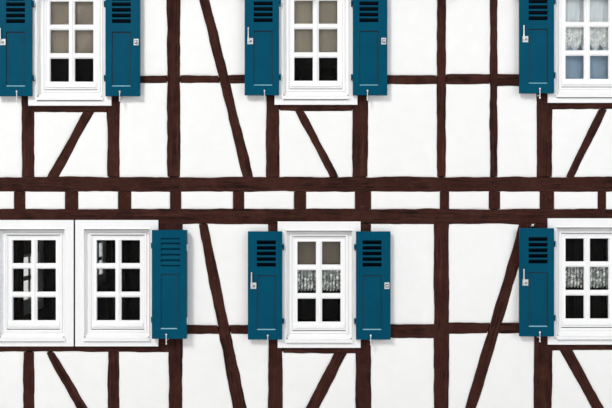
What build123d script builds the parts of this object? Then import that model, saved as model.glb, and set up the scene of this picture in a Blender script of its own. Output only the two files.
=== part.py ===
"""Half-timbered house of two storeys with louvred shutters.

Front faces -Y, +Z is up and the origin is the middle of the plinth's
underside.  All sizes are in millimetres.
"""

from build123d import *
from math import cos, radians, tan
import os

os.makedirs("parts", exist_ok=True)

# Overall size of the timber frame
house_width = 8200
house_depth = 6800
plinth_height = 400
plinth_lip = 30

# Timbers: one wall thickness, beams lie flat, posts stand between them
timber = 140
beam_height = 165
upper_sill_height = 160
joist_height = 192
lower_head_room = 28
upper_head_room = 249
corner_post = 240
floor_board = 30
plaster_set_back = 8

# Roof
pitch = 47
rafter_height = 160
rafter_width = 100
rafter_pairs = 12
rafter_seat = 70
eaves = 250
verge = 250
tile_cover = 70
barge_board = 28
barge_depth = 200

# Windows: casing on the timbers' face, frame between the posts, sash in the frame
sill_rail = 145
lower_window_rise = 804
upper_window_rise = 783
casing_thick = 25
casing_side = 97
casing_foot = 97
casing_head = 100
lining_depth = 20
frame_stile = 107.5
frame_head = 98
frame_foot = 78
frame_thick = 70
sash_width = 585
sash_height = 1035
sash_foot = 180
sash_thick = 42
sash_set_back = 12
sash_reveal = 65
sash_head_reveal = 70
sash_stile = 50
sash_bottom_rail = 90
glass_thick = 4
sill_nose = 20
sill_nose_height = 34
sill_rise = 33
sill_under_leaf = 6
drip_height = 28
drip_depth = 16

# Shutters: axis of the pintles, then the leaf beside it
leaf_width = 375
leaf_height = 1180
leaf_thick = 30
leaf_gap = 10
leaf_foot = 98
leaf_to_axis = 12
leaf_meeting_gap = 8
outer_stile = 97
hinge_stile = 70
leaf_top_rail = 88
leaf_middle_rail = 86
leaf_bottom_rail = 105
panel_recess = 9
louvre_count = 5
louvre_pitch = 61
louvre_depth = 28
louvre_nose = 19
louvre_drop = 39
pin_radius = 6
eye_radius = 10
eye_clearance = 0.4
eye_height = 44
tongue_thick = 8
arm_half_width = 8
arm_height = 18
hinge_inset = 185
fold_gap = 6

# Front windows: centres from the corners or the middle, and lifts over the common height
end_window_in = 830
twin_window_in = 1760
upper_left_in = 1245
right_windows_in = 1255
lower_middle_x = -120
upper_middle_x = -155
lower_middle_lift = -16
lower_right_lift = 19
upper_middle_lift = 10
upper_right_lift = 31

# Front uprights as built: pairs of edges, and the reaches of the window posts
lower_main_post = (2325, 2475)
upper_main_post = (2307, 2450)
lower_right_post = (1144, 1309)
upper_bay_posts = [(1177, 1276), (1760, 1843)]
short_posts = [(723, 844), (1658, 1779)]
lower_middle_reach = (562, 571)
lower_right_reach = (601, 601)
upper_left_reach = (540, 539)
upper_middle_reach = (549, 573)
upper_right_reach = (568, 532)

# Front braces: edges at the top, then at the foot, from an upright or a window's centre
twin_brace = ((-795, -696), (-393, -256))
main_post_brace = ((175, 280), (-925, -775))
lower_middle_brace = ((164, 307), (-210, -56))
lower_right_bay_brace = ((-755, -623), (141, 266))
lower_right_brace = ((-315, -172), (103, 235))
lower_corner_brace = ((623, 755), (1270, 1395))
upper_left_brace = ((138, 259), (-258, -137))
upper_main_brace = ((117, 227), (-802, -692))
upper_middle_brace = ((-230, -131), (155, 254))
upper_right_brace = ((114, 213), (-249, -161))

# Front rails of the bays, above the sill beam below and above the upper floor beam
lower_rail_levels = [(1100, 1199), (1056, 1210), (1105, 1225), (1105, 1225)]
upper_rail_levels = [
    (1034, 1128),
    (1034, 1122),
    (1034, 1122),
    (1023, 1123),
    (1023, 1133),
    (1001, 1133),
    (1013, 1128),
]

# Joists as pairs of edges from the left corner, the middle and the right corner
joists_from_left = [(0, 120), (624, 745), (1185, 1328), (1768, 1911), (2340, 2461)]
joists_from_middle = [(-1067, -946), (-396, -264), (275, 451), (1210, 1309), (1749, 1870)]
joists_from_right = [(1790, 1636), (1152, 1064), (620, 500), (120, 0)]

# Rear door
door_width = 940
door_head_room = 65
door_frame = 80
door_thick = 45
step_width = 1400
step_tread = 320
step_count = 2

# Curtains inside the panes
curtain_width = 500
curtain_height = 290
curtain_foot = 590
curtain_thick = 6

# Windows follow the sash: frame round it, recess round its margin, casing round the recess
frame_width = sash_width + 2 * frame_stile
frame_height = sash_foot - frame_foot + sash_height + frame_head
recess_width = sash_width + 2 * sash_reveal
casing_width = recess_width + 2 * casing_side
casing_height = sash_foot + sash_height + sash_head_reveal + casing_head
recess_height = casing_height - casing_foot - casing_head

# Levels from the ground up
z_sill = plinth_height
z_lower = z_sill + beam_height
z_plate = z_lower + lower_window_rise + frame_foot + frame_height + lower_head_room
z_joist = z_plate + beam_height
z_upper_sill = z_joist + joist_height
z_upper = z_upper_sill + upper_sill_height
z_top_plate = z_upper + upper_window_rise + frame_foot + frame_height + upper_head_room
z_roof = z_top_plate + beam_height

half_w = house_width / 2
half_d = house_depth / 2
slope = tan(radians(pitch))
frame_half = frame_width / 2

# The four walls, seen from outside: local x runs to the right, local y is up
front = Plane(origin=(0, -half_d, 0), x_dir=(1, 0, 0), z_dir=(0, -1, 0))
rear = Plane(origin=(0, half_d, 0), x_dir=(-1, 0, 0), z_dir=(0, 1, 0))
left_gable = Plane(origin=(-half_w, 0, 0), x_dir=(0, -1, 0), z_dir=(-1, 0, 0))
right_gable = Plane(origin=(half_w, 0, 0), x_dir=(0, 1, 0), z_dir=(1, 0, 0))


def upright(x0, x1, z0, z1):
    """A timber's face with square ends, from x0 to x1 and z0 to z1."""
    return [(x0, z0), (x1, z0), (x1, z1), (x0, z1)]


def slanted(top, top_z, bottom, bottom_z):
    """A brace's face from its left and right edges at the top and at the bottom."""
    return [(bottom[0], bottom_z), (bottom[1], bottom_z), (top[1], top_z), (top[0], top_z)]


def draw(shapes, mode=Mode.ADD):
    """Draw the faces of timbers in the current sketch."""
    for points in shapes:
        Polygon(*points, align=None, mode=mode)


def timbers(planes, shapes, cut=(), depth=timber, back=0):
    """Extrude faces into the wall behind each plane, less what crosses them."""
    with BuildPart() as part:
        for plane in planes:
            with BuildSketch(plane.offset(-back)):
                draw(shapes)
                draw(cut, Mode.SUBTRACT)
            extrude(amount=-depth)
    return part.part


def save(part, name):
    """Label a finished piece and write its file."""
    part.label = name
    export_step(part, f"parts/{name}.step")


# Front windows: centre, casing's foot, and how far their posts reach to the left and right
lower_foot = z_lower + lower_window_rise
upper_foot = z_upper + upper_window_rise
end_window = (-half_w + end_window_in, lower_foot)
twin_window = (-half_w + twin_window_in, lower_foot)
lower_middle_window = (lower_middle_x, lower_foot + lower_middle_lift)
lower_right_window = (half_w - right_windows_in, lower_foot + lower_right_lift)
upper_left_window = (-half_w + upper_left_in, upper_foot)
upper_middle_window = (upper_middle_x, upper_foot + upper_middle_lift)
upper_right_window = (half_w - right_windows_in, upper_foot + upper_right_lift)
front_windows = [
    end_window,
    twin_window,
    lower_middle_window,
    lower_right_window,
    upper_left_window,
    upper_middle_window,
    upper_right_window,
]


def window_rail(window, reach=frame_half):
    """The rail that a window's frame stands on."""
    x, foot = window
    top = foot + frame_foot
    return upright(x - reach, x + reach, top - sill_rail, top)


def window_posts(window, reaches, z0, z1):
    """Posts on both sides of a window, out to their reaches from its centre."""
    x = window[0]
    left, right = reaches
    return [
        upright(x - left, x - frame_half, z0, z1),
        upright(x + frame_half, x + right, z0, z1),
    ]


def window_hole(window):
    """Where the window's frame goes through the wall."""
    x, foot = window
    z0 = foot + frame_foot
    return upright(x - frame_half, x + frame_half, z0, z0 + frame_height)


def rail_foot(window):
    """Underside of the rail below a window."""
    return window[1] + frame_foot - sill_rail


def from_left(pair):
    """Two distances from the left corner as x values."""
    return (-half_w + pair[0], -half_w + pair[1])


def from_right(pair):
    """Two distances from the right corner as x values."""
    return (half_w - pair[0], half_w - pair[1])


def beside_x(x, pair):
    """Two distances from an upright or a window's centre as x values."""
    return (x + pair[0], x + pair[1])


# Front wall, lower storey
twin_rail_foot = rail_foot(twin_window)
twin_rail_top = twin_rail_foot + sill_rail
wall_edge = half_w - corner_post
main_post = from_left(lower_main_post)
front_posts = [
    upright(*main_post, z_lower, z_plate),
    upright(*lower_right_post, z_lower, z_plate),
    upright(-wall_edge, end_window[0] - frame_half, twin_rail_top, z_plate),
    upright(end_window[0] + frame_half, twin_window[0] - frame_half, twin_rail_top, z_plate),
    upright(twin_window[0] + frame_half, main_post[0], twin_rail_top, z_plate),
    *[upright(*from_left(pair), z_lower, twin_rail_foot) for pair in short_posts],
    *window_posts(lower_middle_window, lower_middle_reach, z_lower, z_plate),
    *window_posts(lower_right_window, lower_right_reach, z_lower, z_plate),
]
middle_x, right_x = lower_middle_window[0], lower_right_window[0]
lower_bays = [
    (main_post[1], middle_x - lower_middle_reach[0]),
    (middle_x + lower_middle_reach[1], lower_right_post[0]),
    (lower_right_post[1], right_x - lower_right_reach[0]),
    (right_x + lower_right_reach[1], wall_edge),
]
front_rails = [
    upright(-wall_edge, main_post[0], twin_rail_foot, twin_rail_top),
    window_rail(lower_middle_window),
    window_rail(lower_right_window),
]
for (x0, x1), (z0, z1) in zip(lower_bays, lower_rail_levels):
    front_rails.append(upright(x0, x1, z_sill + z0, z_sill + z1))
front_braces = [
    slanted(beside_x(twin_window[0], twin_brace[0]), twin_rail_foot,
            beside_x(twin_window[0], twin_brace[1]), z_lower),
    slanted(beside_x(main_post[1], main_post_brace[0]), z_plate,
            beside_x(middle_x, main_post_brace[1]), z_lower),
    slanted(beside_x(middle_x, lower_middle_brace[0]), rail_foot(lower_middle_window),
            beside_x(middle_x, lower_middle_brace[1]), z_lower),
    slanted(beside_x(right_x, lower_right_bay_brace[0]), z_plate,
            beside_x(lower_right_post[1], lower_right_bay_brace[1]), z_lower),
    slanted(beside_x(right_x, lower_right_brace[0]), rail_foot(lower_right_window),
            beside_x(right_x, lower_right_brace[1]), z_lower),
    slanted(beside_x(right_x, lower_corner_brace[0]), z_plate,
            beside_x(right_x, lower_corner_brace[1]), z_lower),
]

# Front wall, upper storey
upper_post = from_left(upper_main_post)
front_posts += [
    *window_posts(upper_left_window, upper_left_reach, z_upper, z_top_plate),
    upright(*upper_post, z_upper, z_top_plate),
    *window_posts(upper_middle_window, upper_middle_reach, z_upper, z_top_plate),
    *[upright(*pair, z_upper, z_top_plate) for pair in upper_bay_posts],
    *window_posts(upper_right_window, upper_right_reach, z_upper, z_top_plate),
]
left_x, middle_x, right_x = upper_left_window[0], upper_middle_window[0], upper_right_window[0]
upper_bays = [
    (-wall_edge, left_x - upper_left_reach[0]),
    (left_x + upper_left_reach[1], upper_post[0]),
    (upper_post[1], middle_x - upper_middle_reach[0]),
    (middle_x + upper_middle_reach[1], upper_bay_posts[0][0]),
    (upper_bay_posts[0][1], upper_bay_posts[1][0]),
    (upper_bay_posts[1][1], right_x - upper_right_reach[0]),
    (right_x + upper_right_reach[1], wall_edge),
]
front_rails += [window_rail(window) for window in (upper_left_window, upper_middle_window, upper_right_window)]
for (x0, x1), (z0, z1) in zip(upper_bays, upper_rail_levels):
    front_rails.append(upright(x0, x1, z_upper + z0, z_upper + z1))
front_braces += [
    slanted(beside_x(left_x, upper_left_brace[0]), rail_foot(upper_left_window),
            beside_x(left_x, upper_left_brace[1]), z_upper),
    slanted(beside_x(upper_post[1], upper_main_brace[0]), z_top_plate,
            beside_x(middle_x, upper_main_brace[1]), z_upper),
    slanted(beside_x(middle_x, upper_middle_brace[0]), rail_foot(upper_middle_window),
            beside_x(middle_x, upper_middle_brace[1]), z_upper),
    slanted(beside_x(right_x, upper_right_brace[0]), rail_foot(upper_right_window),
            beside_x(right_x, upper_right_brace[1]), z_upper),
]
front_beams = [
    upright(-half_w, half_w, z_sill, z_lower),
    upright(-half_w, half_w, z_plate, z_joist),
    upright(-half_w, half_w, z_upper_sill, z_upper),
    upright(-half_w, half_w, z_top_plate, z_roof),
]
front_corner_posts = [
    upright(-half_w, -wall_edge, z_lower, z_plate),
    upright(wall_edge, half_w, z_lower, z_plate),
    upright(-half_w, -wall_edge, z_upper, z_top_plate),
    upright(wall_edge, half_w, z_upper, z_top_plate),
]

# Joists lie on the lower plates from front to rear, so both ends show
joists = [
    *[from_left(pair) for pair in joists_from_left],
    *joists_from_middle,
    *[from_right(pair) for pair in joists_from_right],
]
joist_faces = [upright(x0, x1, z_joist, z_upper_sill) for x0, x1 in joists]
rear_joist_faces = [upright(-x1, -x0, z_joist, z_upper_sill) for x0, x1 in joists]

# Rear wall: windows and bays spaced evenly, with a door below
rear_end_in = 1450
rear_spacing = half_w - rear_end_in
rear_lower_windows = [(-rear_spacing, lower_foot), (0, lower_foot)]
rear_upper_windows = [(n * rear_spacing, upper_foot) for n in (-1, 0, 1)]
rear_windows = rear_lower_windows + rear_upper_windows
window_post = 145
window_post_edge = frame_half + window_post
rail_rise = 1100
bay_rail = 110
brace_width = 120
brace_run = 420
door_x = rear_spacing
door_half = door_width / 2 + door_frame
door_height = z_plate - z_lower - door_frame - door_head_room
door_hole = upright(door_x - door_half, door_x + door_half, z_lower, z_lower + door_height + door_frame)

rear_posts = []
rear_rails = []
rear_braces = []
for window in rear_windows:
    z0, z1 = (z_lower, z_plate) if window in rear_lower_windows else (z_upper, z_top_plate)
    rear_posts += window_posts(window, (window_post_edge, window_post_edge), z0, z1)
    rear_rails.append(window_rail(window))
    x = window[0]
    rear_braces.append(
        slanted((x - brace_run / 2, x - brace_run / 2 + brace_width), rail_foot(window),
                (x + brace_run / 2 - brace_width, x + brace_run / 2), z0)
    )
rear_posts += [
    upright(door_x - door_half - window_post, door_x - door_half, z_lower, z_plate),
    upright(door_x + door_half, door_x + door_half + window_post, z_lower, z_plate),
]
for x in (-rear_spacing / 2, rear_spacing / 2):
    for z0, z1 in ((z_lower, z_plate), (z_upper, z_top_plate)):
        rear_posts.append(upright(x - window_post / 2, x + window_post / 2, z0, z1))
for z0 in (z_lower, z_upper):
    rear_rails.append(upright(-wall_edge, wall_edge, z0 + rail_rise - bay_rail, z0 + rail_rise))
rear_beams = front_beams

# Gable walls: two windows a storey, a middle post, braces beside the corners
gable_spacing = 1550
gable_edge = half_d - corner_post
gable_windows = []
gable_posts = []
gable_rails = []
gable_braces = []
for foot, z0, z1 in ((lower_foot, z_lower, z_plate), (upper_foot, z_upper, z_top_plate)):
    gable_posts.append(upright(-window_post / 2, window_post / 2, z0, z1))
    for side in (-1, 1):
        window = (side * gable_spacing, foot)
        gable_windows.append(window)
        gable_posts += window_posts(window, (window_post_edge, window_post_edge), z0, z1)
        gable_rails.append(window_rail(window))
        outer = side * (gable_spacing + window_post_edge)
        near = sorted((outer, outer + side * brace_width))
        far = sorted((outer + side * brace_run, outer + side * (brace_run + brace_width)))
        gable_braces.append(slanted(near, z1, far, z0))
    gable_rails.append(upright(-gable_edge, gable_edge, z0 + rail_rise - bay_rail, z0 + rail_rise))
gable_beams = [
    upright(-half_d + timber, half_d - timber, z_sill, z_lower),
    upright(-half_d + timber, half_d - timber, z_plate, z_joist),
    upright(-half_d + timber, half_d - timber, z_upper_sill, z_upper),
    upright(-half_d + timber, half_d - timber, z_top_plate, z_roof),
]

# The triangle under the end rafters has a king post, side posts and a collar
gable_foot = half_d - rafter_seat
gable_top = z_roof + gable_foot * slope
collar_rise = 1450
gable_triangle = [(-gable_foot, z_roof), (gable_foot, z_roof), (0, gable_top)]
king_posts = [
    upright(x - window_post / 2, x + window_post / 2, z_roof, gable_top)
    for x in (-gable_spacing, 0, gable_spacing)
]
collar_half = gable_foot - collar_rise / slope
collar = upright(-gable_foot, gable_foot, z_roof + collar_rise, z_roof + collar_rise + window_post)


def wall_panels(planes, z0, z1, edge, solid_parts):
    """Plaster panels that fill a storey between the timbers and the openings."""
    return timbers(
        planes,
        [upright(-edge, edge, z0, z1)],
        solid_parts,
        timber - 2 * plaster_set_back,
        plaster_set_back,
    )


# Stone plinth, one mass of masonry
with BuildPart() as stone_plinth:
    Box(
        house_width + 2 * plinth_lip,
        house_depth + 2 * plinth_lip,
        plinth_height,
        align=(Align.CENTER, Align.CENTER, Align.MIN),
    )
save(stone_plinth.part, "stone_plinth")

# Timber frame
save(timbers([front], front_beams), "front_beams")
save(timbers([rear], rear_beams), "rear_beams")
gable_planes = [left_gable, right_gable]
save(timbers(gable_planes, gable_beams), "gable_beams")
save(timbers([front, rear], front_corner_posts, depth=corner_post), "corner_posts")
save(timbers([front], front_posts), "front_posts")
save(timbers([front], front_rails, front_posts + front_braces), "front_rails")
beyond_wall_edge = upright(half_w - corner_post, house_width, z_lower, z_plate)
save(timbers([front], front_braces, front_posts + [beyond_wall_edge]), "front_braces")
save(timbers([rear], rear_posts), "rear_posts")
rear_holes = [window_hole(window) for window in rear_windows]
save(timbers([rear], rear_rails, rear_posts + rear_braces + rear_holes + [door_hole]), "rear_rails")
save(timbers([rear], rear_braces, rear_posts), "rear_braces")
gable_holes = [window_hole(window) for window in gable_windows]
gable_posts_and_kings = timbers(gable_planes, gable_posts)
with BuildPart() as gable_post_set:
    add(gable_posts_and_kings)
    for plane in gable_planes:
        with BuildSketch(plane):
            Polygon(*gable_triangle, align=None)
            with BuildSketch(plane, mode=Mode.INTERSECT):
                draw(king_posts)
            draw([collar], Mode.SUBTRACT)
        extrude(amount=-timber)
save(gable_post_set.part, "gable_posts")
with BuildPart() as gable_rail_set:
    for plane in gable_planes:
        with BuildSketch(plane):
            draw(gable_rails)
            draw(gable_posts + gable_braces + gable_holes, Mode.SUBTRACT)
        extrude(amount=-timber)
        with BuildSketch(plane):
            Polygon(*gable_triangle, align=None)
            draw([collar], Mode.INTERSECT)
        extrude(amount=-timber)
save(gable_rail_set.part, "gable_rails")
save(timbers(gable_planes, gable_braces, gable_posts), "gable_braces")

# Plaster between the timbers, the joist ends included
front_solid = front_posts + front_rails + front_braces + [window_hole(w) for w in front_windows]
rear_solid = rear_posts + rear_rails + rear_braces + rear_holes + [door_hole]
gable_solid = gable_posts + gable_rails + gable_braces + gable_holes
storeys = ((z_lower, z_plate), (z_upper, z_top_plate))
for name, plane, solid, ends in (
    ("front_infill", front, front_solid, joist_faces),
    ("rear_infill", rear, rear_solid, rear_joist_faces),
):
    with BuildPart() as infill:
        for z0, z1 in storeys:
            add(wall_panels([plane], z0, z1, wall_edge, solid))
        add(wall_panels([plane], z_joist, z_upper_sill, half_w, ends))
    save(infill.part, name)
with BuildPart() as gable_infill:
    for z0, z1 in storeys:
        add(wall_panels(gable_planes, z0, z1, gable_edge, gable_solid))
    for plane in gable_planes:
        with BuildSketch(plane.offset(-plaster_set_back)):
            Polygon(*gable_triangle, align=None)
            draw(king_posts + [collar], Mode.SUBTRACT)
        extrude(amount=-(timber - 2 * plaster_set_back))
save(gable_infill.part, "gable_infill")

# Floors and joists
with BuildPart() as floor_joists:
    with BuildSketch(front):
        draw(joist_faces)
    extrude(amount=-house_depth)
save(floor_joists.part, "floor_joists")
floor_size = (house_width - 2 * timber, house_depth - 2 * timber)
for name, level in (("ground_floor", z_sill), ("upper_floor", z_upper_sill), ("attic_floor", z_roof)):
    with BuildPart() as floor:
        with BuildSketch(Plane.XY.offset(level)):
            Rectangle(*floor_size)
            if level < z_roof:
                corner = corner_post - timber
                with GridLocations(floor_size[0] - corner, floor_size[1] - corner, 2, 2):
                    Rectangle(corner, corner, mode=Mode.SUBTRACT)
        extrude(amount=floor_board)
    save(floor.part, name)
attic_joist = 120
attic_joist_count = 10
with BuildPart() as attic_joists:
    with BuildSketch(Plane.XY.offset(z_top_plate)):
        with GridLocations(floor_size[0] / attic_joist_count, 0, attic_joist_count, 1):
            Rectangle(attic_joist, floor_size[1])
    extrude(amount=beam_height)
save(attic_joists.part, "attic_joists")


def roof_line(y, rise):
    """Height of a line parallel to the rafters' underside, rise above it, square to it."""
    return z_roof + (y + half_d - rafter_seat) * slope + rise / cos(radians(pitch))


def roof_strip(low, high, foot):
    """Section of the front slope between two depths, from the eaves to the ridge."""
    return [
        (foot, roof_line(foot, low)),
        (0, roof_line(0, low)),
        (0, roof_line(0, high)),
        (foot, roof_line(foot, high)),
    ]


# Rafters sit on the top plates with a notch and meet at the ridge
eaves_y = -half_d - eaves
tile_edge = 40
rafter_spacing = (house_width - rafter_width) / (rafter_pairs - 1)
with BuildPart() as front_rafters:
    for index in range(rafter_pairs):
        with BuildSketch(Plane.YZ.offset(-half_w + index * rafter_spacing)):
            Polygon(*roof_strip(0, rafter_height, eaves_y), align=None)
            draw([upright(-half_d, -half_d + timber, z_top_plate, z_roof)], Mode.SUBTRACT)
        extrude(amount=rafter_width)
save(front_rafters.part, "front_rafters")
save(front_rafters.part.mirror(Plane.XZ), "rear_rafters")

# Roof cover of plain tiles on battens, and the ridge tiles over the joint
roof_length = house_width + 2 * verge
with BuildPart() as front_roof_tiles:
    with BuildSketch(Plane.YZ.offset(-roof_length / 2)):
        Polygon(*roof_strip(rafter_height, rafter_height + tile_cover, eaves_y - tile_edge), align=None)
    extrude(amount=roof_length)
save(front_roof_tiles.part, "front_roof_tiles")
save(front_roof_tiles.part.mirror(Plane.XZ), "rear_roof_tiles")
ridge_reach = 150
ridge_thick = 30
ridge_foot = rafter_height + tile_cover
with BuildPart() as ridge_tiles:
    with BuildSketch(Plane.YZ.offset(-roof_length / 2)):
        Polygon(*roof_strip(ridge_foot, ridge_foot + ridge_thick, -ridge_reach), align=None)
        mirror(about=Plane.YZ)
    extrude(amount=roof_length)
save(ridge_tiles.part, "ridge_tiles")

# Barge boards under the edge of the tiles at both gables
with BuildPart() as barge_boards:
    for x in (-roof_length / 2, roof_length / 2 - barge_board):
        with BuildSketch(Plane.YZ.offset(x)):
            Polygon(*roof_strip(rafter_height - barge_depth, rafter_height, eaves_y), align=None)
            mirror(about=Plane.YZ)
        extrude(amount=barge_board)
save(barge_boards.part, "barge_boards")


def places(plane_turn, reach, windows):
    """Where the feet of a wall's windows stand on the timbers' face."""
    right = Vector(1, 0, 0).rotate(Axis.Z, plane_turn)
    out = Vector(0, -1, 0).rotate(Axis.Z, plane_turn)
    return [Location(right * x + out * reach + Vector(0, 0, foot), (0, 0, plane_turn)) for x, foot in windows]


front_places = places(0, half_d, front_windows)
rear_places = places(180, half_d, rear_windows)
other_places = rear_places + places(-90, half_w, gable_windows) + places(90, half_w, gable_windows)

# Casing: boards round the recess, their lining in the wall and a sloped sill with a nose
with BuildPart() as casing:
    with BuildSketch(Plane.XZ):
        with Locations((0, casing_height / 2)):
            Rectangle(casing_width, casing_height)
        with Locations((0, casing_foot + recess_height / 2)):
            Rectangle(recess_width, recess_height, mode=Mode.SUBTRACT)
    extrude(amount=casing_thick)
    with BuildSketch(Plane.XZ):
        with Locations((0, frame_foot + frame_height / 2)):
            Rectangle(frame_width, frame_height)
        with Locations((0, casing_foot + recess_height / 2)):
            Rectangle(recess_width, recess_height, mode=Mode.SUBTRACT)
    extrude(amount=-lining_depth)
    with BuildSketch(Plane.YZ.offset(-recess_width / 2)):
        Polygon(
            (-casing_thick, casing_foot),
            (lining_depth, casing_foot),
            (lining_depth, casing_foot + sill_rise),
            align=None,
        )
    extrude(amount=recess_width)
    nose_top = leaf_foot - sill_under_leaf
    with Locations((0, -casing_thick - sill_nose / 2, nose_top - sill_nose_height / 2)):
        Box(recess_width + sill_nose, sill_nose, sill_nose_height)

# Frame between the posts, sash in the frame, glass in the sash
with BuildPart() as window_frame:
    with BuildSketch(Plane.XZ.offset(-lining_depth)):
        with Locations((0, frame_foot + frame_height / 2)):
            Rectangle(frame_width, frame_height)
        with Locations((0, sash_foot + sash_height / 2)):
            Rectangle(sash_width, sash_height, mode=Mode.SUBTRACT)
    extrude(amount=-frame_thick)
pane_height = sash_height - sash_stile - sash_bottom_rail
pane_width = sash_width - 2 * sash_stile
pane_centre = sash_foot + sash_bottom_rail + pane_height / 2
sash_face = lining_depth + sash_set_back
with BuildPart() as sash:
    with BuildSketch(Plane.XZ.offset(-sash_face)):
        with Locations((0, sash_foot + sash_height / 2)):
            Rectangle(sash_width, sash_height)
        with Locations((0, pane_centre)):
            Rectangle(pane_width, pane_height, mode=Mode.SUBTRACT)
    extrude(amount=-sash_thick)
    with Locations((0, sash_face - drip_depth / 2, sash_foot + sash_bottom_rail / 2)):
        Box(sash_width - drip_height, drip_depth, drip_height)
with BuildPart() as pane:
    with Locations((0, sash_face + sash_thick / 2, pane_centre)):
        Box(pane_width, glass_thick, pane_height)

for side, spots in (("front", front_places), ("other", other_places)):
    for piece, name in (
        (casing, "window_casings"),
        (window_frame, "window_frames"),
        (sash, "window_sashes"),
        (pane, "window_glass"),
    ):
        with BuildPart() as pieces:
            with Locations(*spots):
                add(piece.part)
        save(pieces.part, f"{side}_{name}")

# Shutter leaf, standing open to the right of its pintles' axis at x = y = 0
louvre_height = louvre_count * louvre_pitch
panel_height = leaf_height - leaf_top_rail - louvre_height - leaf_middle_rail - leaf_bottom_rail
opening_width = leaf_width - outer_stile - hinge_stile
opening_x = leaf_to_axis + hinge_stile + opening_width / 2
louvre_foot = leaf_height - leaf_top_rail - louvre_height
panel_z = leaf_bottom_rail + panel_height / 2
eye_levels = (hinge_inset, leaf_height - hinge_inset)
with BuildPart() as leaf_board:
    with BuildSketch(Plane.XZ.offset(-leaf_thick / 2)):
        with Locations((leaf_to_axis + leaf_width / 2, leaf_height / 2)):
            Rectangle(leaf_width, leaf_height)
        with Locations((opening_x, louvre_foot + louvre_height / 2)):
            Rectangle(opening_width, louvre_height, mode=Mode.SUBTRACT)
    extrude(amount=leaf_thick)
    for face in (-leaf_thick / 2 + panel_recess / 2, leaf_thick / 2 - panel_recess / 2):
        with Locations((opening_x, face, panel_z)):
            Box(opening_width, panel_recess, panel_height, mode=Mode.SUBTRACT)
    with BuildSketch(Plane.YZ.offset(opening_x - opening_width / 2)):
        for slat in range(louvre_count + 1):
            with Locations((0, louvre_foot + slat * louvre_pitch - louvre_drop / 2)):
                Polygon(
                    (-louvre_depth / 2, (louvre_drop - louvre_nose) / 2),
                    (-louvre_depth / 2, (louvre_drop + louvre_nose) / 2),
                    (louvre_depth / 2, (louvre_nose - louvre_drop) / 2),
                    (louvre_depth / 2, -(louvre_drop + louvre_nose) / 2),
                )
    extrude(amount=opening_width)
with BuildPart() as right_leaf:
    add(leaf_board.part)
    for level in eye_levels:
        with BuildSketch(Plane.XY.offset(level)):
            Circle(eye_radius)
            with Locations(((leaf_to_axis + eye_radius / 2) / 2, 0)):
                Rectangle(leaf_to_axis - eye_radius / 2, tongue_thick)
            Circle(pin_radius + eye_clearance, mode=Mode.SUBTRACT)
        extrude(amount=eye_height)
with BuildPart() as left_leaf:
    add(right_leaf.part.mirror(Plane.YZ))

# Pintles: a pin on an arm that stands out from the casing, under each eye
axis_out = casing_thick + leaf_gap + leaf_thick / 2
axis_side = leaf_meeting_gap / 2 + leaf_width + leaf_to_axis
with BuildPart() as pintle_pair:
    for level in eye_levels:
        arm_top = level - eye_clearance
        with BuildSketch(Plane.XY.offset(arm_top - arm_height)):
            Circle(arm_half_width)
            with Locations((0, (axis_out - casing_thick) / 2)):
                Rectangle(2 * arm_half_width, axis_out - casing_thick)
        extrude(amount=arm_height)
        with BuildSketch(Plane.XY.offset(arm_top)):
            Circle(pin_radius)
        extrude(amount=eye_height + eye_clearance)


def beside(spots, side):
    """The axes of the pintles on one side of each window, at the foot of the leaf."""
    return [spot * Location((side * axis_side, -axis_out, leaf_foot)) for spot in spots]


left_hung = [spot for w, spot in zip(front_windows, front_places) if w is not twin_window]
right_hung = [spot for w, spot in zip(front_windows, front_places) if w is not end_window]
with BuildPart() as shutter_pintles:
    with Locations(*beside(left_hung + other_places, -1), *beside(right_hung + other_places, 1)):
        add(pintle_pair.part)
save(shutter_pintles.part, "shutter_pintles")


def leaves(leaf, spots, name):
    """Place copies of a leaf and write them as one piece."""
    with BuildPart() as placed:
        with Locations(*spots):
            add(leaf.part)
    save(placed.part, name)


place_of = dict(zip(front_windows, front_places))
for window, name in (
    (lower_middle_window, "lower_middle"),
    (upper_left_window, "upper_left"),
    (upper_middle_window, "upper_middle"),
):
    leaves(left_leaf, beside([place_of[window]], -1), f"shutter_{name}_left")
    leaves(right_leaf, beside([place_of[window]], 1), f"shutter_{name}_right")
for window, name in ((lower_right_window, "lower_right"), (upper_right_window, "upper_right")):
    leaves(left_leaf, beside([place_of[window]], -1), f"shutter_{name}_left")
right_places = [place_of[lower_right_window], place_of[upper_right_window]]
leaves(right_leaf, beside(right_places, 1), "fixed_front_shutters")
with BuildPart() as fixed_shutters:
    with Locations(*beside(other_places, -1)):
        add(left_leaf.part)
    with Locations(*beside(other_places, 1)):
        add(right_leaf.part)
save(fixed_shutters.part, "rear_and_gable_shutters")

# Folding shutters of the two windows that stand together: a second leaf folded on the first
fold_out = leaf_thick + fold_gap
knuckle_radius = fold_gap
with BuildPart() as folded_right:
    add(right_leaf.part)
    add(leaf_board.part.rotate(Axis.Z, 180).moved(Location((2 * leaf_to_axis + leaf_width, -fold_out, 0))))
    for level in eye_levels:
        with BuildSketch(Plane.XY.offset(level)):
            with Locations((leaf_to_axis + leaf_width + tongue_thick / 2, -fold_out / 2)):
                Rectangle(tongue_thick, fold_out)
                Circle(knuckle_radius)
        extrude(amount=eye_height)
with BuildPart() as folding_shutters:
    with Locations(*beside([place_of[twin_window]], 1)):
        add(folded_right.part)
    with Locations(*beside([place_of[end_window]], -1)):
        add(folded_right.part.mirror(Plane.YZ))
save(folding_shutters.part, "folding_shutters")

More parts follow.
